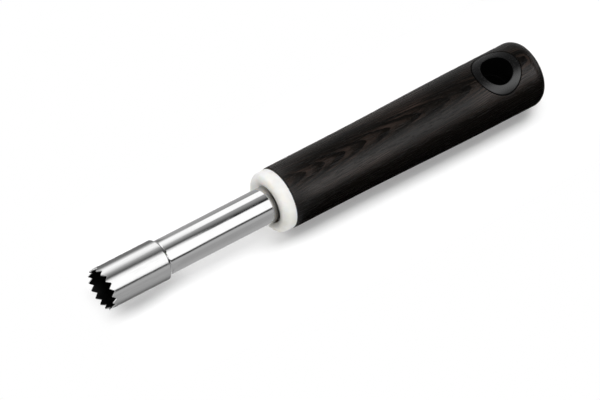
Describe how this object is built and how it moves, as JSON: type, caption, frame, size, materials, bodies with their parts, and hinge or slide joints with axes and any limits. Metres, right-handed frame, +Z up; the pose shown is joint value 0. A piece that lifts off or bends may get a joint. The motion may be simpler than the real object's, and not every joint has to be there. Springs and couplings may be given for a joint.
{
  "type": "fruit corer",
  "caption": "Hand tool that cores fruit: a toothed steel cutter on a polished tube, a pale collar and a dark round wooden handle with a hanging eyelet.",
  "frame": {"origin": "middle of the tool's length and width, on the surface it lies on", "axes": "+X along the tool from the teeth to the handle's end, +Z up along the hanging eyelet, +Y across"},
  "size_m": [0.2234, 0.0296, 0.0295],
  "materials": {
    "cutter_steel": "satin",
    "tube_steel": "polished",
    "plug_plastic": "matte",
    "collar_plastic": "satin",
    "handle_wood": "oiled",
    "eyelet_plastic": "satin"
  },
  "bodies": {
    "root": {"cutter_head": "cutter_steel", "shaft_tube": "tube_steel", "tube_plug": "plug_plastic", "collar": "collar_plastic", "handle": "handle_wood", "eyelet_top": "eyelet_plastic", "eyelet_bottom": "eyelet_plastic"}
  },
  "joints": []
}
